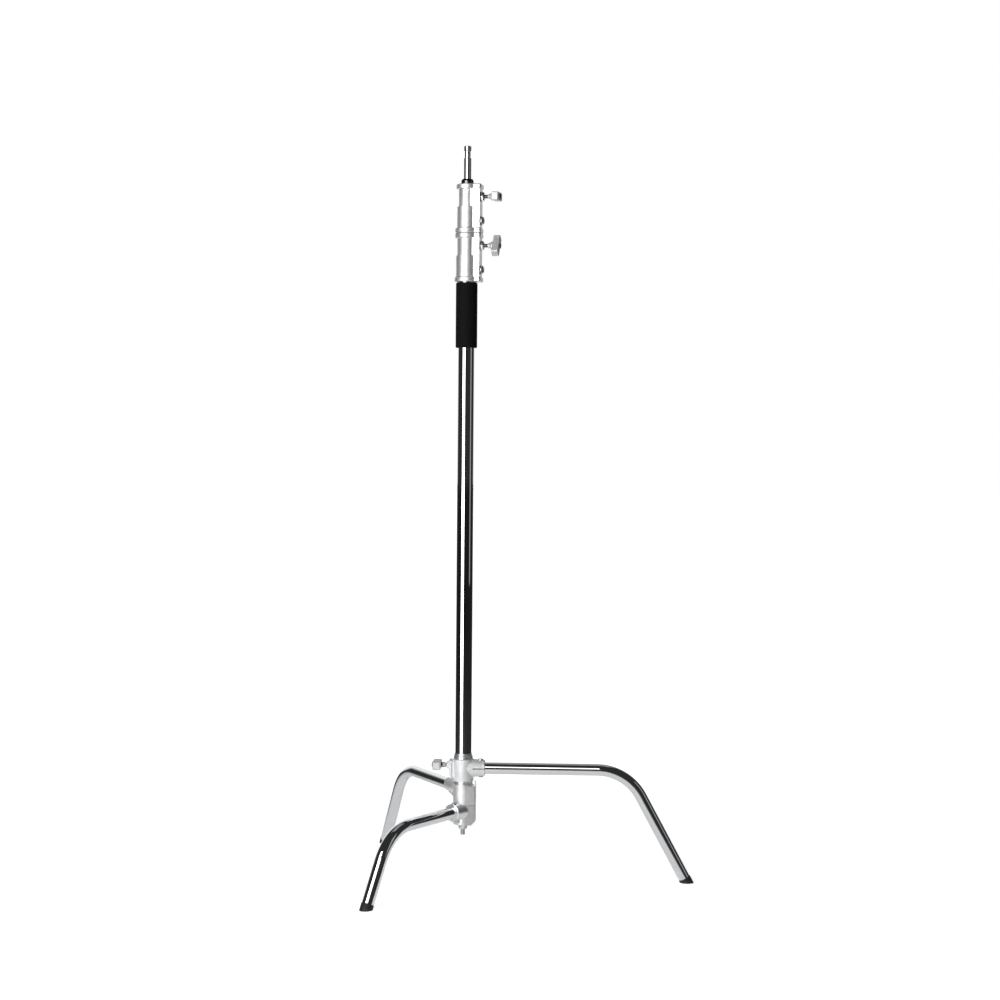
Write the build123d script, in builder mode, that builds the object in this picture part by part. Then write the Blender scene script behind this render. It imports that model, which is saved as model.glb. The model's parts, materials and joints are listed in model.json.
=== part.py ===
"""A century stand: three nested tubes on three bent legs that turn round the column.

Millimetres. +Z is up and the origin is on the column's axis, at floor level.
The large leg points along +X, the medium leg to 120 degrees and the small leg to 240 degrees.
"""

import os
from collections import namedtuple
from math import cos, radians, sin, tan

from build123d import *

# ---- driving dimensions ----
COLUMN_R, COLUMN_WALL = 17.5, 1.5
RISER_1_R, RISER_2_R, RISER_WALL = 15.0, 12.5, 1.2
LEG_R, LEG_WALL = 12.5, 1.5
RUNNING = 0.05  # radial clearance of every running fit
GAP = 0.3  # clearance between bodies that only come close

# legs: azimuth, height of the flat stretch, radius at which the flat and the slope would meet,
# then the boss that holds it: its radius at the hub's axis and at its mouth, how far out its mouth is,
# the bead round the mouth, and the bolt's place
Leg = namedtuple("Leg", "azimuth height knee root_r boss_r mouth bead bolt_at")
SMALL_LEG = Leg(240.0, 145.5, 261.5, 20.4, 17.0, 43.0, 0.9, 34.0)
MEDIUM_LEG = Leg(120.0, 190.5, 303.5, 16.0, 14.1, 66.0, 0.4, 57.0)
LARGE_LEG = Leg(0.0, 235.5, 346.5, 21.0, 16.9, 46.0, 0.5, 37.0)
LEG_SLOPE = 61.6
LEG_BEND_R = 105.0
LEG_ROOT = 26.0  # where the tube starts inside its boss
LEG_CUT_Z = 10.0  # height of the square-cut end's centre
FOOT_R, FOOT_PLUG = 13.1, 24.0

# castings on the column
SMALL_Z = (115.5, 159.3)
MEDIUM_Z = (159.6, 201.5)
LARGE_Z = (207.8, 255.0)
HUB_R = 20.8
# half of the stop block's plan, from the hub outwards: (reach, half width)
BLOCK_PLAN = ((0.0, 20.6), (4.8, 20.4), (23.6, 14.2), (27.3, 11.0))
BOLT_R, BOLT_HEAD_R, BOLT_HEAD_H, BOLT_SEAT = 3.0, 5.6, 4.0, 1.4
SLEEVE_R, SLEEVE_FLANGE_R, SLEEVE_TOP = 19.2, 20.0, 267.3
LARGE_HUB_R = 22.0

# riser locks
LOCK_AZIMUTH = -8.2
LOCK_H, LOCK_STEP = 102.0, 55.0
LOWER_LOCK_Z, UPPER_LOCK_Z = 1260.5, 1363.1
LOCK_KEEL, LOCK_KEEL_HALF = 29.3, 15.5
LOCK_FLANGE_H, LOCK_FLANGE_OUT = 10.4, 2.8
LOCK_SCREW_UP, LOCK_BOLT_UP = 76.0, 26.0
BUSH_H, BUSH_WALL = 12.0, 2.4

# locking screws and their handles
SCREW_R, SCREW_PITCH, THREAD_DEPTH = 4.0, 1.25, 0.6
SHOE_R, SHOE_T, POCKET_DEPTH = 5.5, 4.6, 7.4
INSERT_AF, INSERT_H = 18.6, 7.6
HANDLE_SPAN, HANDLE_THICK, HANDLE_WAIST_R = 47.0, 18.6, 9.2
LOCK_AXIAL, LOCK_NECK = 15.4, (4.8, 9.0, 9.9)
BASE_AXIAL, BASE_NECK = 18.0, (5.8, 5.8, 9.0)
CAP_R, CAP_H = 5.4, 1.8

# column, risers and pin
COLUMN_Z = (121.5, LOWER_LOCK_Z + LOCK_STEP - 3.0)
RISER_1_Z = (155.5, UPPER_LOCK_Z + LOCK_STEP - 3.0)
RISER_2_Z = (168.5, 1466.0)
GRIP_Z, GRIP_R = (1122.5, 1259.0), 22.8
PIN_R, PIN_NECK_R, PIN_ROOT_R = 7.94, 6.3, 9.6
PIN_SHOULDER, PIN_TOP, PIN_NECK = 1475.8, 1545.5, (1520.0, 1536.0)
STUD_R, STUD_LOW = 5.0, 93.5
NUT_Z = (106.1, 115.5)


def keep(piece, name, azimuth=0.0):
    """Turn a finished piece round the column to its azimuth, name it and write it."""
    turned = piece.rotate(Axis.Z, azimuth)
    turned.label = name
    export_step(turned, f"parts/{name}.step")


def tube(low, high, radius, wall):
    """A straight round tube on the column's axis."""
    with BuildPart() as piece:
        with BuildSketch(Plane.XY.offset(low)):
            Circle(radius)
            Circle(radius - wall, mode=Mode.SUBTRACT)
        extrude(amount=high - low)
    return piece


def turned_bar(points):
    """A solid of revolution about Z from its (radius, height) outline."""
    with BuildPart() as piece:
        with BuildSketch(Plane.XZ):
            with BuildLine():
                Polyline(*points, close=True)
            make_face()
        revolve(axis=Axis.Z)
    return piece


def thread_outline(radius, start, length, pitch, depth):
    """Zigzag (radius, distance) points of a rolled thread, drawn as separate grooves."""
    points = []
    for turn in range(int(length / pitch)):
        at = start + turn * pitch
        points += [(radius, at), (radius, at + 0.3 * pitch), (radius - depth, at + 0.65 * pitch)]
    return points + [(radius, start + length)]


# ---- legs ----
def leg_end(leg):
    """Distance from the column to the middle of the leg's square-cut end."""
    return leg.knee + (leg.height - LEG_CUT_Z) / tan(radians(LEG_SLOPE))


def leg_tube(leg):
    """Chromed tube with one bend: flat out of its boss, then down to the floor."""
    with BuildPart() as piece:
        with BuildLine():
            FilletPolyline(
                (LEG_ROOT, 0, leg.height),
                (leg.knee, 0, leg.height),
                (leg_end(leg), 0, LEG_CUT_Z),
                radius=LEG_BEND_R,
            )
        with BuildSketch(Plane(origin=(LEG_ROOT, 0, leg.height), z_dir=(1, 0, 0))):
            Circle(LEG_R)
            Circle(LEG_R - LEG_WALL, mode=Mode.SUBTRACT)
        sweep()
        with Locations((leg.bolt_at, 0, leg.height)):
            Cylinder(BOLT_R, 3 * LEG_R, mode=Mode.SUBTRACT)
    return piece


def leg_foot(leg):
    """Rubber foot: a plug up the tube and a collar that is cut level with the floor."""
    down = (cos(radians(LEG_SLOPE)), 0, -sin(radians(LEG_SLOPE)))
    cut = Plane(origin=(leg_end(leg), 0, LEG_CUT_Z), z_dir=down)
    with BuildPart() as piece:
        with BuildSketch(cut):
            Circle(FOOT_R)
        extrude(amount=2 * FOOT_R)
        with BuildSketch(cut):
            Circle(LEG_R - LEG_WALL)
        extrude(amount=-FOOT_PLUG)
        split(bisect_by=Plane.XY, keep=Keep.TOP)
    return piece


def leg_bolt(leg):
    """Socket-headed bolt, down through the boss and the tube."""
    seat = leg.height + leg.boss_r - BOLT_SEAT
    with BuildPart() as piece:
        with Locations((leg.bolt_at, 0, seat)):
            Cylinder(BOLT_HEAD_R, BOLT_HEAD_H, align=(Align.CENTER, Align.CENTER, Align.MIN))
        fillet(piece.edges().group_by(Axis.Z)[-1], 1.0)
        with BuildSketch(Plane.XY.offset(seat + BOLT_HEAD_H)):
            with Locations((leg.bolt_at, 0)):
                RegularPolygon(2.9, 6)
        extrude(amount=-2.6, mode=Mode.SUBTRACT)
        with BuildSketch(Plane.XY.offset(seat)):
            with Locations((leg.bolt_at, 0)):
                Circle(BOLT_R)
        extrude(amount=-2 * leg.boss_r - 1.0)
    return piece


def leg_nut(leg):
    """Hexagon nut under the boss."""
    with BuildPart() as piece:
        with BuildSketch(Plane.XY.offset(leg.height - leg.boss_r + BOLT_SEAT)):
            with Locations((leg.bolt_at, 0)):
                RegularPolygon(5.4, 6, major_radius=True)
                Circle(BOLT_R, mode=Mode.SUBTRACT)
        extrude(amount=-4.2)
        chamfer(piece.faces().sort_by(Axis.Z)[0].outer_wire().edges(), 0.7)
    return piece


def leg_boss(leg):
    """Tapered socket for a leg along +X, with a small bead at its mouth."""
    mouth, top = leg.mouth, leg.height + leg.boss_r
    with BuildPart() as boss:
        with BuildSketch(Plane.XZ):
            with BuildLine():
                Polyline(
                    (2.0, leg.height),
                    (2.0, leg.height + leg.root_r),
                    (mouth - 5.0, top),
                    (mouth - 4.2, top + leg.bead),
                    (mouth - 1.0, top + leg.bead),
                    (mouth, top - 0.8),
                    (mouth, leg.height),
                    close=True,
                )
            make_face()
        revolve(axis=Axis((0, 0, leg.height), (1, 0, 0)))
    return boss


def leg_socket(leg):
    """What a boss leaves open: the tube's bore, the bolt's hole and its two spot faces."""
    with BuildPart() as socket:
        with BuildSketch(Plane.YZ.offset(LEG_ROOT)):
            with Locations((0, leg.height)):
                Circle(LEG_R)
        extrude(amount=leg.mouth)
        with Locations((leg.bolt_at, 0, leg.height)):
            Cylinder(BOLT_R, 3 * leg.boss_r)
        for side in (1, -1):
            with Locations((leg.bolt_at, 0, leg.height + side * (leg.boss_r - BOLT_SEAT + 4.0))):
                Cylinder(BOLT_HEAD_R + 0.4, 8.0)
    return socket


def leg_web(leg, low):
    """Curved web from the hub's foot up to the underside of the boss's mouth."""
    under = leg.height - leg.boss_r + 2.0
    inner, outer = HUB_R + 3.0, leg.mouth - 1.5
    with BuildPart() as web:
        with BuildSketch(Plane.XZ.offset(-5.5)):
            with BuildLine():
                Polyline((outer, under), (outer, leg.height), (12.0, leg.height), (12.0, low), (inner, low))
                Spline((inner, low), (outer, under), tangents=((1, 0.15), (1, 0.25)))
            make_face()
        extrude(amount=11.0)
    return web


def ring_casting(low, high, leg, block_azimuth, block_top, fixed):
    """Casting of the small or the medium leg: a hub, a stop block, a boss and the web under it."""
    with BuildPart() as piece:
        with BuildSketch(Plane.XY.offset(low)):
            Circle(HUB_R)
        extrude(amount=high - low)
        if fixed:
            chamfer(piece.edges().group_by(Axis.Z)[0], 2.4)
        add(stop_block(low, block_top, fixed).part.rotate(Axis.Z, block_azimuth))
        add(leg_boss(leg).part)
        add(leg_web(leg, low + 6.4).part)
        # the next casting turns on this one's top face, so nothing near the column stands above it
        with BuildSketch(Plane.XY.offset(high)):
            Circle(LARGE_HUB_R + 3.6)
        extrude(amount=30.0, mode=Mode.SUBTRACT)
        with BuildSketch(Plane.XY.offset(low + 6.0 if fixed else low - 1.0)):
            Circle(COLUMN_R if fixed else COLUMN_R + RUNNING)
        extrude(amount=high, mode=Mode.SUBTRACT)
        add(leg_socket(leg).part, mode=Mode.SUBTRACT)
        if fixed:
            with Locations((0, 0, low)):
                Cylinder(STUD_R, 20.0, mode=Mode.SUBTRACT)
    return piece


def stop_block(low, high, sloped_foot):
    """Block on the side of a hub, along +X, narrowing outwards in flat pads; its foot may be sloped."""
    with BuildPart() as block:
        with BuildSketch(Plane.XY.offset(low)):
            with BuildLine():
                far = [(reach, half) for reach, half in BLOCK_PLAN]
                near = [(reach, -half) for reach, half in reversed(BLOCK_PLAN)]
                Polyline(*far, *near, close=True)
            make_face()
        extrude(amount=high - low)
        if sloped_foot:
            reach = BLOCK_PLAN[-1][0]
            with BuildSketch(Plane.XZ.offset(-30.0)):
                with BuildLine():
                    Polyline((reach - 9.0, low), (reach + 1.0, low), (reach + 1.0, low + 10.0), close=True)
                make_face()
            extrude(amount=60.0, mode=Mode.SUBTRACT)
    return block


def medium_leg_casting():
    """Middle casting, with the raised stop on its block."""
    with BuildPart() as piece:
        add(ring_casting(*MEDIUM_Z, MEDIUM_LEG, -120.0, MEDIUM_Z[1] - 3.0, fixed=False).part)
        with BuildSketch(Plane.XY.offset(MEDIUM_Z[0] + 10.0)):
            with Locations(Rotation(0, 0, -120.0)):
                with Locations((BLOCK_PLAN[-1][0] - 1.6, 0)):
                    Rectangle(3.2, 2 * BLOCK_PLAN[-1][1])
        extrude(amount=LARGE_Z[0] - MEDIUM_Z[0] - 10.0 - GAP)
    return piece


def large_leg_casting():
    """Top casting: a round hub on the sleeve, the large leg's boss and the lock's keel."""
    low, high = LARGE_Z
    leg = LARGE_LEG
    with BuildPart() as piece:
        with BuildSketch(Plane.XY.offset(low)):
            Circle(LARGE_HUB_R)
        extrude(amount=high - low)
        fillet(piece.edges().group_by(Axis.Z)[-1], 1.8)
        chamfer(piece.edges().group_by(Axis.Z)[0], 1.0)
        add(leg_boss(leg).part)
        # keel for the locking screw, with a pad on its end
        with BuildSketch(Plane.YZ.offset(-26.0)):
            with Locations((0, 233.0)):
                RectangleRounded(22.0, 38.0, 4.0)
        extrude(amount=14.0)
        with BuildSketch(Plane.YZ.offset(-29.2)):
            with Locations((0, 233.0)):
                RectangleRounded(29.0, 41.0, 6.0)
        extrude(amount=5.2)
        fillet(piece.edges().group_by(Axis.X)[0], 1.4)
        with BuildSketch(Plane.YZ.offset(-29.2)):
            with Locations((0, BASE_LOCK_Z)):
                Circle(9.4)
        extrude(amount=-5.6, taper=24)
        with BuildSketch(Plane.XY.offset(low - 1.0)):
            Circle(SLEEVE_R + RUNNING)
        extrude(amount=60.0, mode=Mode.SUBTRACT)
        add(leg_socket(leg).part, mode=Mode.SUBTRACT)
        # clamp slit along the boss
        with Locations((leg.mouth, 0, leg.height)):
            Box(50.0, 3 * leg.boss_r, 2.6, mode=Mode.SUBTRACT)
        for radius, reach in ((SHOE_R + RUNNING, SLEEVE_R + POCKET_DEPTH), (SCREW_R + RUNNING, 40.0)):
            with BuildSketch(Plane.YZ.offset(-10.0)):
                with Locations((0, BASE_LOCK_Z)):
                    Circle(radius)
            extrude(amount=-(reach - 10.0), mode=Mode.SUBTRACT)
    return piece


def sliding_sleeve():
    """Split steel sleeve that the large leg turns on, and that slides on the column."""
    low = MEDIUM_Z[1] + GAP
    with BuildPart() as piece:
        with BuildSketch(Plane.XZ):
            with BuildLine():
                Polyline(
                    (COLUMN_R + RUNNING, low),
                    (SLEEVE_FLANGE_R, low),
                    (SLEEVE_FLANGE_R, LARGE_Z[0] - GAP),
                    (SLEEVE_R, LARGE_Z[0] - GAP),
                    (SLEEVE_R, LARGE_Z[1] + GAP),
                    (SLEEVE_R + 0.9, LARGE_Z[1] + GAP),
                    (SLEEVE_R + 0.9, SLEEVE_TOP - 5.0),
                    (SLEEVE_R - 0.6, SLEEVE_TOP - 4.0),
                    (SLEEVE_R - 0.6, SLEEVE_TOP - 0.8),
                    (SLEEVE_R - 1.2, SLEEVE_TOP),
                    (COLUMN_R + RUNNING, SLEEVE_TOP),
                    close=True,
                )
            make_face()
        revolve(axis=Axis.Z)
        with Locations((0, COLUMN_R, (low + SLEEVE_TOP) / 2)):
            Box(2.4, 12.0, 80.0, mode=Mode.SUBTRACT)
    return piece


# ---- riser locks ----
def lock_outline(barrel_r, grow):
    """Plan of a lock casting: a round barrel with a square keel. Used inside a sketch."""
    Circle(barrel_r + grow)
    with Locations(((LOCK_KEEL + grow) / 2, 0)):
        Rectangle(LOCK_KEEL + grow, 2 * (LOCK_KEEL_HALF + grow * 0.6))


def lock_flange(bottom, flange_r):
    """Rounded rim round one end of a lock casting."""
    with BuildPart() as rim:
        with BuildSketch(Plane.XY.offset(bottom)) as plan:
            lock_outline(flange_r - LOCK_FLANGE_OUT, LOCK_FLANGE_OUT)
            fillet(plan.vertices().sort_by(Axis.X)[-2:], 4.0)
        extrude(amount=LOCK_FLANGE_H)
        fillet(rim.edges().group_by(Axis.Z)[0] + rim.edges().group_by(Axis.Z)[-1], 2.4)
    return rim


def lock_casting(low, tube_r, riser_r, barrel):
    """Casting fixed on the top of one tube, with a keel whose screw grips the next riser."""
    step, high = low + LOCK_STEP, low + LOCK_H
    low_r, high_r, low_flange_r, high_flange_r = barrel
    with BuildPart() as piece:
        with BuildSketch(Plane.XY.offset(low)):
            lock_outline(low_r, 0.0)
        extrude(amount=LOCK_STEP)
        with BuildSketch(Plane.XY.offset(step)):
            lock_outline(high_r, 0.0)
        extrude(amount=LOCK_H - LOCK_STEP)
        add(lock_flange(low, low_flange_r).part)
        add(lock_flange(high - LOCK_FLANGE_H, high_flange_r).part)
        with BuildSketch(Plane.XY.offset(low - 1.0)):
            Circle(tube_r)
        extrude(amount=LOCK_STEP - 2.0, mode=Mode.SUBTRACT)
        with BuildSketch(Plane.XY.offset(low)):
            Circle(riser_r + GAP)
        extrude(amount=LOCK_H + 1.0, mode=Mode.SUBTRACT)
        with BuildSketch(Plane.XY.offset(high - BUSH_H)):
            Circle(riser_r + BUSH_WALL)
        extrude(amount=BUSH_H + 1.0, mode=Mode.SUBTRACT)
        for up, radius, reach in (
            (LOCK_SCREW_UP, SCREW_R + RUNNING, LOCK_KEEL),
            (LOCK_SCREW_UP, SHOE_R + RUNNING, riser_r + POCKET_DEPTH),
            (LOCK_BOLT_UP, SCREW_R, LOCK_KEEL),
        ):
            with BuildSketch(Plane.YZ.offset(5.0)):
                with Locations((0, low + up)):
                    Circle(radius)
            extrude(amount=reach - 5.0, mode=Mode.SUBTRACT)
    return piece


def guide_bush(low, riser_r):
    """Nylon bush in the mouth of a lock casting."""
    high = low + LOCK_H
    wall = BUSH_WALL - RUNNING
    return tube(high - BUSH_H, high, riser_r + BUSH_WALL, wall)


def fixing_bolt(low, tube_r):
    """Domed bolt with a hexagon socket, through the keel into the tube that carries the casting."""
    up = low + LOCK_BOLT_UP
    with BuildPart() as piece:
        with BuildSketch(Plane.YZ.offset(LOCK_KEEL)):
            with Locations((0, up)):
                Circle(9.0)
        extrude(amount=7.4)
        fillet(piece.edges().group_by(Axis.X)[-1], 5.6)
        with BuildSketch(Plane.YZ.offset(LOCK_KEEL + 7.4)):
            with Locations((0, up)):
                RegularPolygon(2.9, 6)
        extrude(amount=-4.0, mode=Mode.SUBTRACT)
        with BuildSketch(Plane.YZ.offset(LOCK_KEEL)):
            with Locations((0, up)):
                Circle(SCREW_R)
        extrude(amount=-(LOCK_KEEL - tube_r + 1.1))
    return piece


def screw_insert(low):
    """Hexagon nut on the keel's end, in which the locking screw runs."""
    up = low + LOCK_SCREW_UP
    with BuildPart() as piece:
        with BuildSketch(Plane.YZ.offset(LOCK_KEEL)):
            with Locations((0, up)):
                RegularPolygon(INSERT_AF / 2, 6, major_radius=False)
        extrude(amount=INSERT_H)
        chamfer(piece.edges().group_by(Axis.X)[-1], 2.2)
        with BuildSketch(Plane.YZ.offset(LOCK_KEEL)):
            with Locations((0, up)):
                Circle(SCREW_R + RUNNING)
        extrude(amount=INSERT_H, mode=Mode.SUBTRACT)
    return piece


# ---- locking screw, built along +X from the tube it presses on ----
def lock_shoe(height, tube_r):
    """Brass shoe between the screw's tip and the tube."""
    with BuildPart() as piece:
        with BuildSketch(Plane.YZ.offset(tube_r - 3.0)):
            with Locations((0, height)):
                Circle(SHOE_R)
        extrude(amount=SHOE_T + 3.0)
        with Locations((0, 0, height)):
            Cylinder(tube_r + RUNNING, 3 * SHOE_R, mode=Mode.SUBTRACT)
    return piece


def lock_screw(height, tube_r, knob_x, neck):
    """Threaded screw from the shoe into the handle."""
    tip = tube_r + SHOE_T + RUNNING
    end = knob_x + neck[2] + 6.0
    outline = [(0, tip), (SCREW_R - 1.0, tip)]
    outline += thread_outline(SCREW_R, tip + 1.0, knob_x - tip - 2.0, SCREW_PITCH, THREAD_DEPTH)
    outline += [(SCREW_R, end), (0, end)]
    with BuildPart() as piece:
        with BuildSketch(Plane.XZ):
            with BuildLine():
                Polyline(*[(along, height + radius) for radius, along in outline], close=True)
            make_face()
        revolve(axis=Axis((0, 0, height), (1, 0, 0)))
    return piece


def lock_handle(height, knob_x, neck, axial, roll):
    """Cast T-handle: a round neck (its two radii and its length) and a thick bar with rounded ends."""
    bar_x = knob_x + neck[2]
    face = bar_x + axial
    with BuildPart() as piece:
        with BuildSketch(Plane.YZ.offset(bar_x)):
            with Locations(Location((0, height), roll)):
                RectangleRounded(HANDLE_SPAN, HANDLE_THICK, 4.2)
        extrude(amount=axial)
        fillet(piece.edges().group_by(Axis.X)[0] + piece.edges().group_by(Axis.X)[-1], 2.4)
        with BuildSketch(Plane.XZ):
            with BuildLine():
                Polyline(
                    (knob_x, height),
                    (knob_x, height + neck[0]),
                    (bar_x, height + neck[1]),
                    (bar_x + 2.4, height + neck[1]),
                    (bar_x + 2.4, height + HANDLE_WAIST_R),
                    (face - 1.6, height + HANDLE_WAIST_R),
                    (face + 0.6, height + HANDLE_WAIST_R - 2.6),
                    (face + 0.6, height),
                    close=True,
                )
            make_face()
        revolve(axis=Axis((0, 0, height), (1, 0, 0)))
        for start, depth, radius in ((knob_x, neck[2] + 6.0, SCREW_R), (face + 0.6, -3.0, CAP_R)):
            with BuildSketch(Plane.YZ.offset(start)):
                with Locations((0, height)):
                    Circle(radius)
            extrude(amount=depth, mode=Mode.SUBTRACT)
    return piece


def handle_cap(height, knob_x, neck, axial):
    """Black plug in the handle's outer face."""
    face = knob_x + neck[2] + axial + 0.6
    with BuildPart() as piece:
        with BuildSketch(Plane.YZ.offset(face - 3.0)):
            with Locations((0, height)):
                Circle(CAP_R)
        extrude(amount=3.0 + CAP_H)
        fillet(piece.edges().group_by(Axis.X)[-1], 1.4)
    return piece


def foot_bush(low, riser_low, inner_r, outer_r):
    """Nylon cup that guides the lower end of a riser."""
    top = riser_low + 32.0
    return turned_bar(
        [
            (0, low),
            (outer_r - 1.0, low),
            (outer_r, low + 1.0),
            (outer_r, top),
            (inner_r, top),
            (inner_r, riser_low - RUNNING),
            (0, riser_low - RUNNING),
        ]
    )


BASE_LOCK_Z = 241.2
BASE_KNOB_X = 37.4
LOCK_KNOB_X = 45.0

os.makedirs("parts", exist_ok=True)

# ---- column and its foot ----
with BuildPart() as column:
    add(tube(*COLUMN_Z, COLUMN_R, COLUMN_WALL).part)
    with BuildSketch(Plane.YZ.offset(5.0)):
        with Locations((0, LOWER_LOCK_Z + LOCK_BOLT_UP)):
            Circle(SCREW_R)
    extrude(amount=20.0, mode=Mode.SUBTRACT)
keep(column.part, "column_tube", LOCK_AZIMUTH)

with BuildPart() as plug:
    with Locations((0, 0, COLUMN_Z[0])):
        Cylinder(COLUMN_R - COLUMN_WALL, 24.0, align=(Align.CENTER, Align.CENTER, Align.MIN))
        Cylinder(STUD_R, 60.0, mode=Mode.SUBTRACT)
keep(plug.part, "column_foot_plug")

stud_points = [(0, STUD_LOW), (STUD_R - 1.0, STUD_LOW)]
stud_points += thread_outline(STUD_R, STUD_LOW + 1.0, NUT_Z[0] - STUD_LOW - 1.0, 1.5, 0.75)
stud_points += [(STUD_R, COLUMN_Z[0] + 20.0), (0, COLUMN_Z[0] + 20.0)]
keep(turned_bar(stud_points).part, "base_stud")

with BuildPart() as nut:
    with BuildSketch(Plane.XY.offset(NUT_Z[0])):
        RegularPolygon(8.0, 6, major_radius=False)
    extrude(amount=NUT_Z[1] - NUT_Z[0])
    chamfer(nut.edges().group_by(Axis.Z)[0], 1.2)
    with BuildSketch(Plane.XY.offset(NUT_Z[1] - 1.6)):
        Circle(10.5)
    extrude(amount=1.6)
    with Locations((0, 0, NUT_Z[0])):
        Cylinder(STUD_R, 40.0, mode=Mode.SUBTRACT)
keep(nut.part, "base_nut")

keep(tube(SMALL_Z[1], MEDIUM_Z[0] - RUNNING, HUB_R - 0.5, 2.8).part, "thrust_washer")

# ---- legs and their castings ----
castings = {
    "small": (SMALL_LEG, ring_casting(*SMALL_Z, SMALL_LEG, 120.0, SMALL_Z[1], fixed=True)),
    "medium": (MEDIUM_LEG, medium_leg_casting()),
    "large": (LARGE_LEG, large_leg_casting()),
}
for size, (leg, casting) in castings.items():
    keep(casting.part, f"{size}_leg_casting", leg.azimuth)
    keep(leg_tube(leg).part, f"{size}_leg_tube", leg.azimuth)
    keep(leg_foot(leg).part, f"{size}_leg_foot", leg.azimuth)
    keep(leg_bolt(leg).part, f"{size}_leg_bolt", leg.azimuth)
    keep(leg_nut(leg).part, f"{size}_leg_nut", leg.azimuth)
keep(sliding_sleeve().part, "sliding_sleeve")

# ---- risers, locks and grip ----
with BuildPart() as grip:
    add(tube(*GRIP_Z, GRIP_R, GRIP_R - COLUMN_R).part)
    fillet(grip.edges().filter_by(GeomType.CIRCLE).group_by(SortBy.RADIUS)[-1], 1.5)
keep(grip.part, "grip_sleeve")

# each lock's foot, the tube it sits on, the riser it grips, its barrel's four radii and its handle's roll
Lock = namedtuple("Lock", "low tube_r riser_r barrel roll")
locks = {
    "lower": Lock(LOWER_LOCK_Z, COLUMN_R, RISER_1_R, (22.9, 20.5, 25.9, 25.2), 52.0),
    "upper": Lock(UPPER_LOCK_Z, RISER_1_R, RISER_2_R, (21.2, 17.9, 25.2, 23.2), 3.0),
}
for place, lock in locks.items():
    low, screw_z = lock.low, lock.low + LOCK_SCREW_UP
    casting = lock_casting(low, lock.tube_r, lock.riser_r, lock.barrel)
    keep(casting.part, f"{place}_lock_casting", LOCK_AZIMUTH)
    keep(guide_bush(low, lock.riser_r).part, f"{place}_guide_bush", LOCK_AZIMUTH)
    keep(fixing_bolt(low, lock.tube_r).part, f"{place}_fixing_bolt", LOCK_AZIMUTH)
    keep(screw_insert(low).part, f"{place}_screw_insert", LOCK_AZIMUTH)
    keep(lock_shoe(screw_z, lock.riser_r).part, f"{place}_lock_shoe", LOCK_AZIMUTH)
    keep(lock_screw(screw_z, lock.riser_r, LOCK_KNOB_X, LOCK_NECK).part, f"{place}_lock_screw", LOCK_AZIMUTH)
    handle = lock_handle(screw_z, LOCK_KNOB_X, LOCK_NECK, LOCK_AXIAL, lock.roll)
    keep(handle.part, f"{place}_lock_handle", LOCK_AZIMUTH)
    keep(handle_cap(screw_z, LOCK_KNOB_X, LOCK_NECK, LOCK_AXIAL).part, f"{place}_handle_cap", LOCK_AZIMUTH)

keep(lock_shoe(BASE_LOCK_Z, SLEEVE_R).part, "base_lock_shoe", 180.0)
keep(lock_screw(BASE_LOCK_Z, SLEEVE_R, BASE_KNOB_X, BASE_NECK).part, "base_lock_screw", 180.0)
keep(lock_handle(BASE_LOCK_Z, BASE_KNOB_X, BASE_NECK, BASE_AXIAL, 0.0).part, "base_lock_handle", 180.0)
keep(handle_cap(BASE_LOCK_Z, BASE_KNOB_X, BASE_NECK, BASE_AXIAL).part, "base_handle_cap", 180.0)

with BuildPart() as riser_1:
    add(tube(*RISER_1_Z, RISER_1_R, RISER_WALL).part)
    with BuildSketch(Plane.YZ.offset(5.0)):
        with Locations((0, UPPER_LOCK_Z + LOCK_BOLT_UP)):
            Circle(SCREW_R)
    extrude(amount=20.0, mode=Mode.SUBTRACT)
keep(riser_1.part, "riser_1_tube", LOCK_AZIMUTH)
inner_1 = COLUMN_R - COLUMN_WALL - RUNNING
keep(foot_bush(RISER_1_Z[0] - 4.0, RISER_1_Z[0], RISER_1_R + RUNNING, inner_1).part, "riser_1_foot_bush")

pin_hole = Location((0, 0, 1451.5), (0, 90, 0))
with BuildPart() as riser_2:
    add(tube(*RISER_2_Z, RISER_2_R, RISER_WALL).part)
    with Locations(pin_hole):
        Cylinder(2.0, 40.0, mode=Mode.SUBTRACT)
keep(riser_2.part, "riser_2_tube")
inner_2 = RISER_1_R - RISER_WALL - RUNNING
keep(foot_bush(RISER_2_Z[0] - 3.0, RISER_2_Z[0], RISER_2_R + RUNNING, inner_2).part, "riser_2_foot_bush")

spigot_r = RISER_2_R - RISER_WALL
pin_blank = turned_bar(
    [
        (0, RISER_2_Z[1] - 35.0),
        (spigot_r, RISER_2_Z[1] - 35.0),
        (spigot_r, RISER_2_Z[1]),
        (PIN_ROOT_R, RISER_2_Z[1]),
        (PIN_ROOT_R, PIN_SHOULDER),
        (PIN_R, PIN_SHOULDER),
        (PIN_R, PIN_NECK[0]),
        (PIN_NECK_R, PIN_NECK[0] + 1.6),
        (PIN_NECK_R, PIN_NECK[1] - 1.6),
        (PIN_R, PIN_NECK[1]),
        (PIN_R, PIN_TOP - 1.2),
        (PIN_R - 1.2, PIN_TOP),
        (0, PIN_TOP),
    ]
)
with BuildPart() as pin:
    add(pin_blank.part)
    with Locations(pin_hole):
        Cylinder(2.0, 40.0, mode=Mode.SUBTRACT)
keep(pin.part, "top_pin")

with BuildPart() as roll_pin:
    with Locations(pin_hole):
        Cylinder(2.0, 2 * RISER_2_R - 1.0)
keep(roll_pin.part, "pin_roll_pin")

collar = turned_bar(
    [
        (PIN_ROOT_R, RISER_2_Z[1]),
        (13.2, RISER_2_Z[1]),
        (13.2, PIN_SHOULDER - 3.8),
        (11.6, PIN_SHOULDER),
        (PIN_ROOT_R, PIN_SHOULDER),
    ]
)
keep(collar.part, "riser_2_collar")
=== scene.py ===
import json
from math import pi, radians, tan

import bpy
from mathutils import Matrix, Vector


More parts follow.
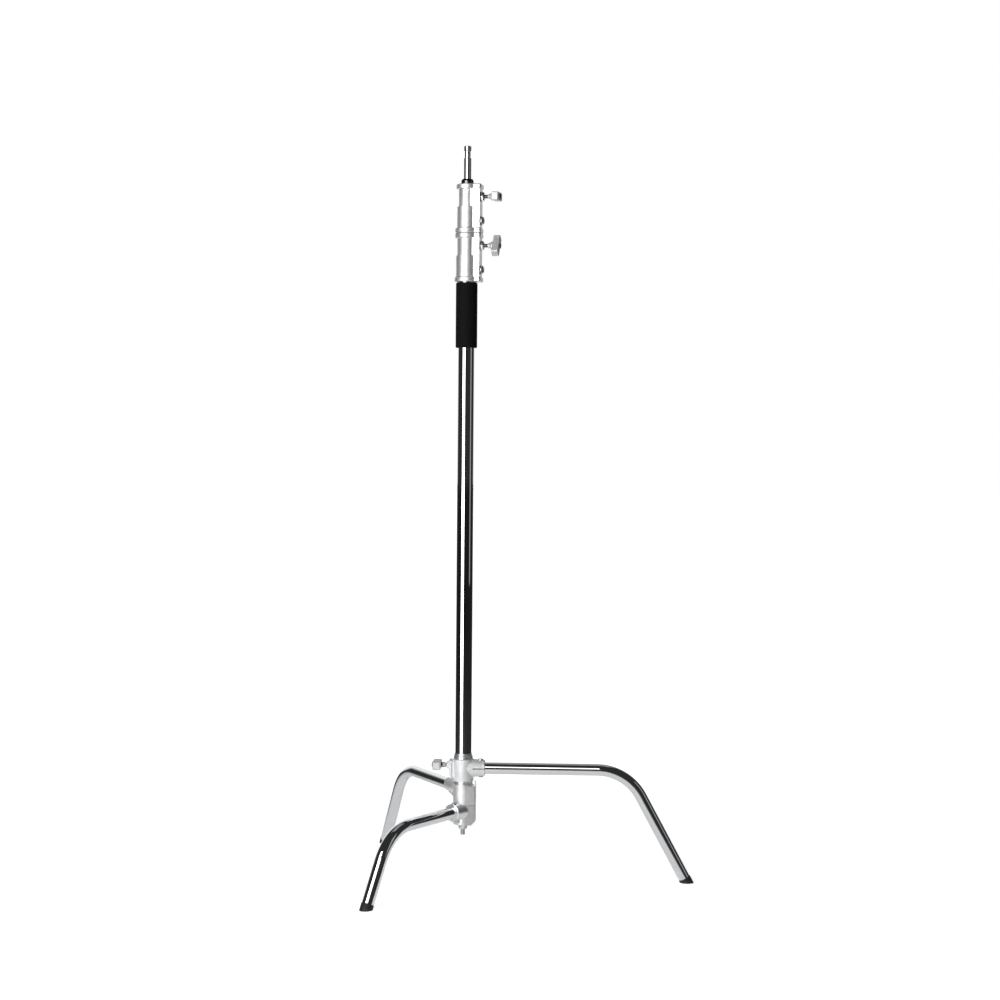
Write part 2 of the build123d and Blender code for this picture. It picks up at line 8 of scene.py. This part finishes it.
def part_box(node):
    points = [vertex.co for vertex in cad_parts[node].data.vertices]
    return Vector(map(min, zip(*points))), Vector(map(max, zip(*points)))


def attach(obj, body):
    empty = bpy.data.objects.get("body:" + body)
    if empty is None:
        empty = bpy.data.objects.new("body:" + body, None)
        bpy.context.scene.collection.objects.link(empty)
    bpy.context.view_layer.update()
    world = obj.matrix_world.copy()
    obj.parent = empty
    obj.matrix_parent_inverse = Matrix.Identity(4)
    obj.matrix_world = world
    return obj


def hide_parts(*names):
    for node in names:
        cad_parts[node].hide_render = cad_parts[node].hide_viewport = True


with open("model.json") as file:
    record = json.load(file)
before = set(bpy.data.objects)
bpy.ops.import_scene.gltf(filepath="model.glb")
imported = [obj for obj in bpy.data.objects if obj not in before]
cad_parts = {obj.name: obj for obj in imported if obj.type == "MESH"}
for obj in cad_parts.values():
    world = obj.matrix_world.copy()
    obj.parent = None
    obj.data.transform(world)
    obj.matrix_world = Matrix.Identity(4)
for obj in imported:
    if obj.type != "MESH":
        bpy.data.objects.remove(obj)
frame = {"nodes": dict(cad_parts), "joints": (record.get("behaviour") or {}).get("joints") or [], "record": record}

bpy.ops.object.select_all(action="DESELECT")
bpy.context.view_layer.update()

# ---- Camera ----
# It stands four metres off at chest height, a little to the right of the column,
# tipped slightly down and rolled by less than half a degree.
CAMERA_DISTANCE = 4.0
CAMERA_ASIDE = 0.0734
CAMERA_HEIGHT = 0.9005
CAMERA_TURN = radians(2.8)
CAMERA_TIP = radians(1.4)
CAMERA_ROLL = radians(0.45)
CAMERA_LENS = 68.28

turn = Matrix.Rotation(CAMERA_TURN, 4, "Z")
look = turn @ Matrix.Rotation(pi / 2 - CAMERA_TIP, 4, "X") @ Matrix.Rotation(CAMERA_ROLL, 4, "Z")
place = turn @ Vector((CAMERA_ASIDE, -CAMERA_DISTANCE, CAMERA_HEIGHT))
bpy.ops.object.camera_add(location=place, rotation=look.to_euler())
camera = bpy.context.object
camera.data.lens = CAMERA_LENS
camera.data.sensor_width = 36.0
camera.data.clip_end = 200.0
bpy.context.scene.camera = camera

# ---- Studio floor ----
# Seamless white paper under the stand. Its brightness is painted light, in its colour and its glow: it is
# bright round the feet, in a tongue towards the left soft box and where it runs back to the wall, and
# falls off into a painted dark elsewhere, so that the chrome has something dark to show.
FLOOR_HALF = 40.0
PAPER_LIT, PAPER_UNLIT = (0.93, 0.93, 0.93, 1), (0.05, 0.05, 0.05, 1)
LIT_TO, DARK_FROM = 0.42, 1.15
TONGUE_FROM, TONGUE_TO, TONGUE_EDGE = radians(13), radians(46), radians(4)
BACK_FROM, BACK_FULL = radians(142), radians(156)
OUTER_REACH = (0.6, 1.3)
# how strongly the paper glows, a painted glow: seen directly, near the feet and far off, and in what it lights
GLOW_REACH, GLOW_SEEN = (0.6, 1.7), (0.75, 1.0)
GLOW_CAST, GLOW_TONGUE, GLOW_BACK = 0.32, 2.0, 0.6


class Wire:
    """One socket of a material's nodes. Arithmetic on it adds the Math nodes that it needs."""

    def __init__(self, tree, socket=None):
        self.tree, self.socket = tree, socket

    def node(self, kind, settings=None, **sockets):
        """Adds a node: its settings first, then its sockets' values or links, by name or as _0, _1."""
        made = self.tree.nodes.new("ShaderNode" + kind)
        for key, value in (settings or {}).items():
            if key == "stops":
                for element, (position, shade) in zip(made.color_ramp.elements, value):
                    element.position, element.color = position, shade
            else:
                setattr(made, key, value)
        for key, value in sockets.items():
            socket = made.inputs[int(key[1:]) if key[1:].isdigit() else key.replace("_", " ")]
            if isinstance(value, Wire):
                self.tree.links.new(value.socket, socket)
            else:
                socket.default_value = value
        return Wire(self.tree, made.outputs[0])

    def out(self, index):
        """Another output of the same node."""
        return Wire(self.tree, self.socket.node.outputs[index])

    def maths(self, operation, *values):
        """A Math node over the values, in their order."""
        numbered = {f"_{place}": value for place, value in enumerate(values)}
        return self.node("Math", {"operation": operation}, **numbered)

    def eased(self, low, high, start=0.0, end=1.0):
        """The stretch of the socket from low to high, eased into start to end."""
        smooth = {"interpolation_type": "SMOOTHSTEP"}
        return self.node("MapRange", smooth, _0=self, _1=low, _2=high, _3=start, _4=end)

    def between(self, first, second):
        """A colour between two, by this socket."""
        return self.node("Mix", {"data_type": "RGBA"}, _0=self, _6=first, _7=second).out(2)

    def __add__(self, other):
        return self.maths("ADD", self, other)

    def __sub__(self, other):
        return self.maths("SUBTRACT", self, other)

    def __rsub__(self, other):
        return self.maths("SUBTRACT", other, self)

    def __mul__(self, other):
        return self.maths("MULTIPLY", self, other)

    __radd__, __rmul__ = __add__, __mul__


class Finish:
    """A material of one shader: what is the same all over is set on it, what varies is linked to it."""

    def __init__(self, name, **constants):
        self.material = bpy.data.materials.new(name)
        self.material.use_nodes = True
        self.shader = self.material.node_tree.nodes["Principled BSDF"]
        self.wire = Wire(self.material.node_tree)
        self.place = self.wire.node("TexCoord").out("Object")
        for key, value in constants.items():
            self.shader.inputs[key.replace("_", " ")].default_value = value

    def vary(self, **sockets):
        for key, value in sockets.items():
            self.wire.tree.links.new(value.socket, self.shader.inputs[key.replace("_", " ")])

    def noise(self, scale, detail=3.0, roughness=0.55, place=None):
        """Cloudy noise of so many blotches to the metre."""
        place = place or self.place
        return self.wire.node("TexNoise", None, Vector=place, Scale=scale, Detail=detail, Roughness=roughness)

    def bump(self, height, depth, strength=1.0, under=None):
        """A surface raised by height times depth, in metres, over another bump."""
        sockets = {"Height": height, "Distance": depth, "Strength": strength}
        if under:
            sockets["Normal"] = under
        return self.wire.node("Bump", None, **sockets)

    def rounded(self, radius, samples=4):
        """The surface with its edges rounded in shading."""
        return self.wire.node("Bevel", {"samples": samples}, Radius=radius)

    def paint(self, *nodes):
        """Gives this finish to CAD nodes, which keep their own meshes."""
        for node in nodes:
            for slot_of in frame["nodes"][node].material_slots:
                slot_of.material = self.material


bpy.ops.mesh.primitive_plane_add(size=2 * FLOOR_HALF, location=(0, 0, -0.0004))
floor = bpy.context.object
floor.name = "studio_floor"

paper = Finish("studio_paper", Roughness=0.9, Emission_Color=(1, 1, 1, 1))
dot, length = {"operation": "DOT_PRODUCT"}, {"operation": "LENGTH"}
paper_front = paper.wire.node("VectorMath", dot, _0=paper.place, _1=turn @ Vector((0, -1, 0))).out(1)
paper_left = paper.wire.node("VectorMath", dot, _0=paper.place, _1=turn @ Vector((-1, 0, 0))).out(1)
paper_far = paper.wire.node("VectorMath", length, _0=paper.place).out(1)
paper_bearing = paper_left.maths("ARCTAN2", paper_left, paper_front)
tongue_start = paper_bearing.eased(TONGUE_FROM - TONGUE_EDGE, TONGUE_FROM + TONGUE_EDGE)
tongue_end = paper_bearing.eased(TONGUE_TO - TONGUE_EDGE, TONGUE_TO + TONGUE_EDGE)
paper_tongue = tongue_start * (1 - tongue_end)
paper_back = paper_bearing.maths("ABSOLUTE", paper_bearing).eased(BACK_FROM, BACK_FULL)
paper_dark = paper_far.eased(LIT_TO, DARK_FROM) * (1 - paper_tongue) * (1 - paper_back)
paper_seen = paper.wire.node("LightPath")
glow_seen = paper_far.eased(*GLOW_REACH, *GLOW_SEEN)
glow_outer = (GLOW_TONGUE * paper_tongue + GLOW_BACK * paper_back) * paper_far.eased(*OUTER_REACH)
glow_cast = (1 - paper_dark) * (GLOW_CAST + glow_outer)
paper_glow = paper_seen * glow_seen + (1 - paper_seen) * glow_cast
# painted light: except to the camera the paper's colour goes dark away from the feet, the tongue and the back, and
# it glows
paper.vary(
    Base_Color=((1 - paper_seen) * paper_dark).between(PAPER_LIT, PAPER_UNLIT),
    Emission_Strength=paper_glow,
)
floor.data.materials.append(paper.material)

# ---- Studio light ----
# A tall soft box to the left of the camera, small fills to the right and in front, one light above,
# and a white wall behind. The rest of the room is dark, which gives the chrome its dark bands.
WALL_EDGE, WALL_FULL = 0.62, 0.80
ROOM_DARK, WALL_WHITE = 0.03, 0.95


def soft_box(name, where, towards, width, height, power):
    """A rectangular area light, aimed at a point."""
    aim = (Vector(towards) - Vector(where)).to_track_quat("-Z", "Y")
    bpy.ops.object.light_add(type="AREA", location=where, rotation=aim.to_euler())
    light = bpy.context.object
    light.name = name
    light.data.shape = "RECTANGLE"
    light.data.size, light.data.size_y = width, height
    light.data.energy = power


soft_box("left_soft_box", turn @ Vector((-1.26, -2.27, 1.55)), (0, 0, 1.55), 1.5, 3.1, 66)
soft_box("right_fill", turn @ Vector((2.9, -0.9, 1.3)), (0, 0, 0.9), 0.8, 1.8, 1.6)
soft_box("front_light", turn @ Vector((-0.2, -5.0, 2.7)), (0, 0, 0.2), 0.8, 1.6, 10)
soft_box("top_light", (0.3, 0.9, 3.2), (0, 0, 0), 2.0, 1.6, 3)

world = bpy.data.worlds.new("studio_room")
world.use_nodes = True
bpy.context.scene.world = world
room = Wire(world.node_tree)
direction = room.node("TexCoord")
facing_back = room.node("VectorMath", dot, _0=direction, _1=turn @ Vector((0, 1, 0))).out(1)
room_seen = room.node("LightPath")
room_light = facing_back.eased(WALL_EDGE, WALL_FULL, ROOM_DARK, WALL_WHITE)
backdrop = world.node_tree.nodes["Background"]
backdrop.inputs["Color"].default_value = (1, 1, 1, 1)
world.node_tree.links.new((room_seen + (1 - room_seen) * room_light).socket, backdrop.inputs["Strength"])
bpy.context.scene.view_settings.view_transform = "Standard"

# ---- Chromed tubes ----
# Column, two risers and three bent legs: drawn steel tube, ground, polished and chromed. The plating
# is a mirror with faint hazy smears from hands, and fine rub lines where the tubes slide.
CHROME = (0.80, 0.812, 0.828, 1)
CHROME_HAZE, CHROME_SMEAR = 0.035, 0.09
TUBE_SIDES = 128
COLUMN_WALL, RISER_WALL, LEG_WALL = 0.0015, 0.0012, 0.0015
LEG_R, LEG_ROOT, LEG_CUT_Z = 0.0125, 0.0260, 0.010
LEG_BEND, LEG_SLOPE, LEG_BEND_STEPS, LEG_STEPS = 0.105, radians(61.6), 40, 6

chrome = Finish("polished_chrome", Base_Color=CHROME, Metallic=1.0)
smear = chrome.noise(14.0, 4.0).eased(0.52, 0.78)
haze = chrome.noise(95.0, 5.0, 0.65).eased(0.35, 0.8)
rub_place = chrome.wire.node("Mapping", None, Vector=chrome.place, Scale=(900.0, 900.0, 9.0))
rub = chrome.noise(1.0, 2.0, place=rub_place).eased(0.62, 0.75)
ripple = chrome.noise(16.0, 1.0)
chrome.vary(
    Roughness=CHROME_HAZE + CHROME_SMEAR * smear * haze + 0.03 * rub,
    Normal=chrome.bump(ripple, 0.00012, 0.5),
)


def ring(name, radius, where, facing):
    """A circle of edges, open inside, left in edit mode with all of it selected."""
    bpy.ops.object.select_all(action="DESELECT")
    turned = Vector(facing).to_track_quat("Z", "Y").to_euler()
    bpy.ops.mesh.primitive_circle_add(vertices=TUBE_SIDES, radius=radius, location=where, rotation=turned)
    bpy.context.object.name = name
    bpy.ops.object.transform_apply(location=True, rotation=True, scale=True)
    bpy.ops.object.mode_set(mode="EDIT")
    bpy.ops.mesh.select_all(action="SELECT")
    return bpy.context.object


def pull(move):
    """Extrudes what is selected by a vector."""
    bpy.ops.mesh.extrude_region_move(TRANSFORM_OT_translate={"value": tuple(move)})


def walled(piece, wall):
    """Leaves edit mode and gives an open shell its wall, inwards."""
    bpy.ops.mesh.select_all(action="SELECT")
    bpy.ops.mesh.remove_doubles(threshold=1e-6)
    bpy.ops.mesh.normals_make_consistent(inside=False)
    bpy.ops.object.mode_set(mode="OBJECT")
    shell = piece.modifiers.new("wall", "SOLIDIFY")
    shell.thickness, shell.offset, shell.use_even_offset = wall, -1.0, True
    bpy.ops.object.modifier_apply(modifier=shell.name)


def fitted(piece, finish, body, slot, *nodes):
    """Smooths a finished piece, paints it, and lets it ride in place of its CAD nodes."""
    bpy.ops.object.select_all(action="DESELECT")
    piece.select_set(True)
    bpy.context.view_layer.objects.active = piece
    bpy.ops.object.shade_smooth_by_angle(angle=radians(35))
    piece.data.materials.clear()
    piece.data.materials.append(finish.material)
    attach(piece, body)
    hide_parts(*nodes)
    bpy.ops.object.select_all(action="DESELECT")


straight_tubes = {
    "column_tube": ("column", COLUMN_WALL),
    "riser_1_tube": ("riser_1", RISER_WALL),
    "riser_2_tube": ("riser_2", RISER_WALL),
}
for node, (body, wall) in straight_tubes.items():
    low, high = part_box(node)
    middle = (low + high) / 2
    tube = ring(node + "_chromed", (high.x - low.x) / 2, (middle.x, middle.y, low.z), (0, 0, 1))
    pull((0, 0, high.z - low.z))
    walled(tube, wall)
    fitted(tube, chrome, body, "chrome_tube", node)

feet = {
    mount["name"].split("_")[0]: Vector(mount["pos_m"])
    for mount in frame["record"]["mounts"]
    if "foot_rest" in mount["name"]
}
leg_bodies = {"small": "column", "medium": "medium_leg", "large": "large_leg"}
for size, foot in feet.items():
    node = f"{size}_leg_tube"
    low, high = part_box(node)
    outward = foot.normalized()
    leg_z = high.z - LEG_R
    knee = foot.length - leg_z / tan(LEG_SLOPE)
    bend_in = LEG_BEND * tan(LEG_SLOPE / 2)
    across = Vector((0, 0, 1)).cross(outward)
    # the level part, then the bend, then the slope down to the cut end inside the foot
    leg = ring(node + "_chromed", LEG_R, outward * LEG_ROOT + Vector((0, 0, leg_z)), outward)
    for step in range(LEG_STEPS):
        pull(outward * (knee - bend_in - LEG_ROOT) / LEG_STEPS)
    centre = outward * (knee - bend_in) + Vector((0, 0, leg_z - LEG_BEND))
    bpy.ops.mesh.spin(steps=LEG_BEND_STEPS, angle=-LEG_SLOPE, center=centre, axis=across)
    down = Matrix.Rotation(LEG_SLOPE, 3, across) @ outward
    bend_out = outward * knee + Vector((0, 0, leg_z)) + down * bend_in
    cut = outward * (knee + (leg_z - LEG_CUT_Z) / tan(LEG_SLOPE)) + Vector((0, 0, LEG_CUT_Z))
    for step in range(LEG_STEPS):
        pull((cut - bend_out) / LEG_STEPS)
    walled(leg, LEG_WALL)
    fitted(leg, chrome, leg_bodies[size], "chrome_tube", node)

# ---- Castings ----
# Leg castings and riser locks: aluminium, sand cast, tumbled and bead blasted to a satin silver.
# Fine even grain, soft edges, a few pinholes with painted shade in them, and a cloudy difference in how bright the
# blast is.
CAST_DARK, CAST_LIGHT = (0.80, 0.805, 0.81, 1), (0.92, 0.922, 0.93, 1)
CAST_EDGE, CAST_ROUGHNESS = 0.0006, 0.46


def blasted(name, polish, graininess, metallic=0.86):
    """Blasted aluminium; polish lowers its roughness, graininess raises its grain."""
    metal = Finish(name, Metallic=metallic, Specular_IOR_Level=0.5)
    cloud = metal.noise(38.0, 5.0, 0.6)
    grain = metal.noise(1500.0, 3.0, 0.7)
    orange_peel = metal.noise(330.0, 2.0, 0.5)
    pores = metal.wire.node("TexVoronoi", {"feature": "F1"}, Vector=metal.place, Scale=210.0, Randomness=1.0)
    pinhole_pit_and_shade = (1 - pores.eased(0.06, 0.12)) * metal.noise(70.0, 1.0).eased(0.55, 0.62)
    uneven = metal.bump(orange_peel, 0.00014, 0.6 * graininess, metal.rounded(CAST_EDGE, 6))
    # painted shade: the pinholes are darkened in colour, besides being sunk in the bump
    metal.vary(
        Base_Color=(cloud.eased(0.3, 0.7) - 0.35 * pinhole_pit_and_shade).between(CAST_DARK, CAST_LIGHT),
        Roughness=(CAST_ROUGHNESS - polish) + 0.10 * cloud + 0.06 * grain + 0.2 * pinhole_pit_and_shade,
        Normal=metal.bump(grain - pinhole_pit_and_shade, 0.00006, graininess, uneven),
    )
    return metal


lock_metal = blasted("blasted_lock_casting", 0.08, 0.4)
large_metal = blasted("blasted_large_leg_casting", -0.14, 0.6, 0.68)
medium_metal = blasted("blasted_medium_leg_casting", 0.02, 0.4, 0.84)
small_metal = blasted("tumbled_small_leg_casting", 0.22, 0.3, 0.95)
lock_metal.paint("lower_lock_casting", "upper_lock_casting")
large_metal.paint("large_leg_casting")
medium_metal.paint("medium_leg_casting")
small_metal.paint("small_leg_casting")

# ---- T-handles ----
# Three locking handles, die cast in one piece with their necks and tumbled, a little duller and
# rougher than the castings they clamp.
HANDLE_DARK, HANDLE_LIGHT = (0.56, 0.565, 0.57, 1), (0.72, 0.722, 0.73, 1)

HANDLE_EDGE = 0.0010
# near-black painted shade laid in the base handle's neck groove, that band's half width, and the groove's depth
PAINTED_GROOVE_SHADE, GROOVE_HALF, GROOVE_DEPTH = (0.02, 0.02, 0.02, 1), 0.0011, 0.0010


def tumbled(name, groove=None):
    """Tumbled die casting; groove is where, along X, a near-black ring of painted shade lies round the neck."""
    metal = Finish(name, Metallic=0.5, Specular_IOR_Level=0.5)
    cloud = metal.noise(120.0, 5.0, 0.6)
    grain = metal.noise(1100.0, 3.0, 0.7)
    shade = cloud.eased(0.3, 0.7).between(HANDLE_DARK, HANDLE_LIGHT)
    if groove:
        along_x = metal.wire.node("SeparateXYZ", None, _0=metal.place)
        away = along_x.maths("ABSOLUTE", along_x - groove)
        # painted shade: the base handle's neck groove is darkened in colour to near black
        shade = away.eased(GROOVE_HALF, GROOVE_HALF + 0.0003).between(PAINTED_GROOVE_SHADE, shade)
    uneven = metal.bump(cloud, 0.0005, 0.3, metal.rounded(HANDLE_EDGE, 6))
    metal.vary(
        Base_Color=shade,
        Roughness=0.44 + 0.14 * cloud + 0.1 * grain,
        Normal=metal.bump(grain, 0.00010, 0.5, uneven),
    )
    return metal


# how far each handle's bar is turned round its screw, and its neck: its radius at the screw and at the
# bar, and its length
handle_shapes = {
    "base": (0.0, (0.0057, 0.0058, 0.0090)),
    "lower": (radians(52.0), (0.0047, 0.0089, 0.0099)),
    "upper": (radians(3.0), (0.0047, 0.0089, 0.0099)),
}
HANDLE_SPAN, HANDLE_THICK, HANDLE_HUB_R = 0.0468, 0.0184, 0.0090
HANDLE_CORNER, HANDLE_VOXEL = 0.0024, 0.00042
base_neck_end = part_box("base_lock_handle")[1].x - handle_shapes["base"][1][2]
base_handle_metal = tumbled("tumbled_base_handle", base_neck_end + GROOVE_HALF)
lock_handle_metal = tumbled("tumbled_lock_handle")
knobs = {
    joint["name"].split("_")[0]: joint for joint in frame["joints"] if joint["name"].endswith("knob_turn")
}
for place_of, (roll, (screw_r, bar_r, neck)) in handle_shapes.items():
    node = f"{place_of}_lock_handle"
    along = Vector(knobs[place_of]["axis"])
    height = Vector(knobs[place_of]["pos_m"])
    reach = [vertex.co.dot(along) for vertex in frame["nodes"][node].data.vertices]
    inner, outer = min(reach), max(reach)
    bar_in, bar_out = inner + neck, outer - 0.0006
    # the bar, along Y: a block with rounded edges and its ends drawn in a little
    bpy.ops.mesh.primitive_cube_add(size=1.0, location=((bar_in + bar_out) / 2, 0, 0))
    handle = bpy.context.object
    handle.name = node + "_cast"
    handle.scale = (bar_out - bar_in, HANDLE_SPAN, HANDLE_THICK)
    bpy.ops.object.transform_apply(location=True, rotation=False, scale=True)
    bpy.ops.object.mode_set(mode="EDIT")
    bpy.ops.mesh.select_all(action="SELECT")
    bpy.ops.mesh.bevel(offset=HANDLE_CORNER, segments=4, affect="EDGES")
    bpy.ops.mesh.select_all(action="DESELECT")
    bpy.ops.object.mode_set(mode="OBJECT")
    for face in handle.data.polygons:
        face.select = abs(face.center.y) > HANDLE_SPAN / 2 - HANDLE_CORNER
    bpy.ops.object.mode_set(mode="EDIT")
    bpy.ops.transform.resize(value=(0.97, 1.0, 0.96), center_override=((bar_in + bar_out) / 2, 0, 0))
    # the hub and the neck: a ring drawn out and widened from the screw to the bar, then through the bar
    bpy.ops.mesh.select_all(action="DESELECT")
    bpy.ops.mesh.primitive_circle_add(
        vertices=64, radius=screw_r, location=(inner, 0, 0), rotation=(0, pi / 2, 0), fill_type="NGON"
    )
    ring_r = screw_r
    for step, radius in (
        (0.35 * neck, screw_r + 0.2 * (bar_r - screw_r)),
        (0.65 * neck - 0.0018, bar_r),
        (0.0004, bar_r - GROOVE_DEPTH),
        (0.0014, bar_r - GROOVE_DEPTH),
        (0.002, HANDLE_HUB_R),
        (bar_out - bar_in - 0.003, HANDLE_HUB_R),
        (0.001 + outer - bar_out, HANDLE_HUB_R - 0.002),
    ):
        pull((step, 0, 0))
        bpy.ops.transform.resize(value=(1.0, radius / ring_r, radius / ring_r), center_override=(0, 0, 0))
        ring_r = radius
    bpy.ops.mesh.select_all(action="SELECT")
    bpy.ops.mesh.normals_make_consistent(inside=False)
    bpy.ops.object.mode_set(mode="OBJECT")
    # bar and hub become one skin, and its inner corners are eased as a casting's are
    handle.data.remesh_voxel_size = HANDLE_VOXEL
    bpy.ops.object.voxel_remesh()
    eased = handle.modifiers.new("eased", "SMOOTH")
    eased.factor, eased.iterations = 0.5, 4
    bpy.ops.object.modifier_apply(modifier=eased.name)
    side = Vector((0, 0, 1)).cross(along)
    turned = Matrix((along, side, Vector((0, 0, 1)))).transposed().to_4x4()
    handle.matrix_world = Matrix.Translation(height) @ turned @ Matrix.Rotation(roll, 4, "X")
    bpy.ops.object.transform_apply(location=True, rotation=True, scale=True)
    metal = base_handle_metal if place_of == "base" else lock_handle_metal
    fitted(handle, metal, f"{place_of}_knob", "handle_casting", node)

# ---- Bolts, nuts and screws ----
# Leg bolts and nuts, the locks' fixing bolts and inserts, and the stud under the column: turned steel
# with bright zinc plate, which is faintly cloudy and blue-grey.
ZINC_DARK, ZINC_LIGHT = (0.55, 0.565, 0.59, 1), (0.74, 0.745, 0.75, 1)

zinc = Finish("bright_zinc", Metallic=1.0)
zinc_cloud = zinc.noise(260.0, 4.0, 0.6)
zinc_lines = zinc.noise(2400.0, 2.0, 0.6)
zinc.vary(
    Base_Color=zinc_cloud.eased(0.3, 0.7).between(ZINC_DARK, ZINC_LIGHT),
    Roughness=0.18 + 0.16 * zinc_cloud + 0.08 * zinc_lines,
    Normal=zinc.bump(zinc_lines, 0.00003, 0.5, zinc.rounded(0.0004)),
)
zinc.paint(*(sub["node"] for sub in frame["record"]["subparts"] if sub["material_slot"] == "zinc_steel"))

# The split sleeve that the large leg turns on is plated too, but over a bead-blasted skin.
sleeve_satin = Finish("satin_sleeve", Metallic=1.0)
sleeve_cloud = sleeve_satin.noise(90.0, 4.0, 0.6)
sleeve_grain = sleeve_satin.noise(1700.0, 2.0, 0.6)
sleeve_satin.vary(
    Base_Color=sleeve_cloud.eased(0.3, 0.7).between(ZINC_LIGHT, (0.84, 0.845, 0.85, 1)),
    Roughness=0.30 + 0.10 * sleeve_cloud + 0.06 * sleeve_grain,
    Normal=sleeve_satin.bump(sleeve_grain, 0.00003, 0.4, sleeve_satin.rounded(0.0005)),
)
sleeve_satin.paint("sliding_sleeve")

# ---- Top pin ----
# Solid steel pin, turned to a groove that a lamp's screw bites into, then plated: a bright mirror
# round its length with the fine rings of the lathe, and a dark collar where it enters the riser.
PIN_BRIGHT, PIN_DULL = (0.78, 0.79, 0.81, 1), (0.60, 0.61, 0.63, 1)
RINGS_PER_METRE = 2600.0

pin_steel = Finish("turned_pin", Metallic=1.0)
ring_scale = (20.0, 20.0, RINGS_PER_METRE)
pin_turning = pin_steel.wire.node("Mapping", None, Vector=pin_steel.place, Scale=ring_scale)
pin_rings = pin_steel.noise(1.0, 2.0, place=pin_turning)
pin_worn = pin_steel.noise(130.0, 4.0).eased(0.45, 0.75)
pin_steel.vary(
    Base_Color=pin_worn.between(PIN_BRIGHT, PIN_DULL),
    Roughness=0.07 + 0.05 * pin_worn + 0.01 * pin_rings,
    Normal=pin_steel.bump(pin_rings, 0.0000001, 0.3),
)
pin_steel.paint("top_pin")

# The collar and the three locking screws are given a dark steel colour instead, lighter in worn patches.
dark_steel = Finish("dark_steel_finish", Metallic=1.0)
black_wear = dark_steel.noise(160.0, 5.0, 0.65).eased(0.52, 0.75)
dark_steel.vary(
    Base_Color=black_wear.between((0.16, 0.16, 0.165, 1), (0.30, 0.30, 0.305, 1)),
    Roughness=0.12 + 0.12 * black_wear,
    Normal=dark_steel.bump(black_wear, 0.00004, 0.4, dark_steel.rounded(0.0005)),
)
dark_steel.paint("riser_2_collar", "base_lock_screw", "lower_lock_screw", "upper_lock_screw")

# ---- Nylon bushes and handle caps ----
# Moulded black nylon: the guide bushes in the locks, the bushes on the risers' feet, and the plugs
# pressed into the handles. A soft sheen with the fine texture of the mould.
nylon = Finish("moulded_nylon", Metallic=0.0)
nylon_skin = nylon.noise(1900.0, 2.0, 0.6)
nylon_flow = nylon.noise(45.0, 3.0)
nylon.vary(
    Base_Color=nylon_flow.between((0.010, 0.010, 0.011, 1), (0.022, 0.022, 0.024, 1)),
    Roughness=0.34 + 0.14 * nylon_flow + 0.08 * nylon_skin,
    Normal=nylon.bump(nylon_skin, 0.00004, 0.5, nylon.rounded(0.0004)),
)
nylon.paint(*(sub["node"] for sub in frame["record"]["subparts"] if sub["material_slot"] == "black_nylon"))

# ---- Brass shoes ----
# The pads that the locking screws press on the tubes: cut from brass bar and left bare, so that they
# are brown where no tube rubs them.
brass = Finish("bare_brass", Metallic=1.0)
tarnish = brass.noise(210.0, 5.0, 0.65).eased(0.4, 0.7)
brass.vary(
    Base_Color=tarnish.between((0.74, 0.57, 0.27, 1), (0.44, 0.30, 0.13, 1)),
    Roughness=0.22 + 0.25 * tarnish,
    Normal=brass.bump(brass.noise(2200.0, 2.0), 0.00003, 0.5),
)
brass.paint("base_lock_shoe", "lower_lock_shoe", "upper_lock_shoe")

# ---- Rubber feet ----
# Moulded black rubber, plugged up each leg's end and cut level with the floor. It is matt, with
# grey dust near the floor.
DUST_TOP = 0.009

rubber = Finish("foot_rubber", Metallic=0.0, Specular_IOR_Level=0.4)
rubber_height = rubber.wire.node("SeparateXYZ", None, _0=rubber.place).out("Z")
rubber_cloud = rubber.noise(150.0, 5.0, 0.65)
rubber_skin = rubber.noise(1300.0, 3.0, 0.6)
dusty = (1 - rubber_height.eased(0.0, DUST_TOP)) * rubber_cloud.eased(0.35, 0.7)
rubber.vary(
    Base_Color=(0.7 * dusty).between((0.012, 0.012, 0.013, 1), (0.09, 0.088, 0.085, 1)),
    Roughness=0.52 + 0.18 * rubber_cloud + 0.15 * dusty,
    Normal=rubber.bump(rubber_skin, 0.00008, 0.5, rubber.rounded(0.0008)),
)
rubber.paint("small_leg_foot", "medium_leg_foot", "large_leg_foot")

# ---- Foam grip ----
# A sleeve of black closed-cell foam rubber, slid over the top of the column. Its skin is fine-celled
# and quite matt, its ends are cut square and rounded by use, and it is never perfectly even.
GRIP_RINGS, GRIP_END_R, GRIP_CLEAR = 34, 0.0024, 0.0001

foam = Finish("black_foam", Metallic=0.0, Specular_IOR_Level=0.12, Sheen_Weight=0.01, Sheen_Roughness=0.5)
cells = foam.wire.node("TexVoronoi", {"feature": "F1"}, Vector=foam.place, Scale=1500.0, Randomness=1.0)
foam_cloud = foam.noise(60.0, 4.0, 0.6)
foam_skin = foam.noise(520.0, 4.0, 0.6)
foam.vary(
    Base_Color=foam_cloud.between((0.0018, 0.0018, 0.002, 1), (0.005, 0.005, 0.0055, 1)),
    Roughness=0.68 + 0.16 * foam_cloud + 0.06 * cells,
    Normal=foam.bump(cells, 0.00010, 0.55, foam.bump(foam_skin, 0.00016, 0.4)),
)

low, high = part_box("grip_sleeve")
column_low, column_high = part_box("column_tube")
grip_r = (high.x - low.x) / 2 - GRIP_CLEAR
grip_wall = grip_r - (column_high.x - column_low.x) / 2 - GRIP_CLEAR
grip = ring("foam_grip", grip_r, (0, 0, low.z), (0, 0, 1))
for step in range(GRIP_RINGS):
    pull((0, 0, (high.z - low.z) / GRIP_RINGS))
walled(grip, grip_wall)
soft_edge = grip.modifiers.new("soft_edge", "BEVEL")
soft_edge.width, soft_edge.segments = GRIP_END_R, 4
soft_edge.limit_method, soft_edge.angle_limit = "ANGLE", radians(50)
bpy.ops.object.modifier_apply(modifier=soft_edge.name)
fitted(grip, foam, "column", "black_foam", "grip_sleeve")
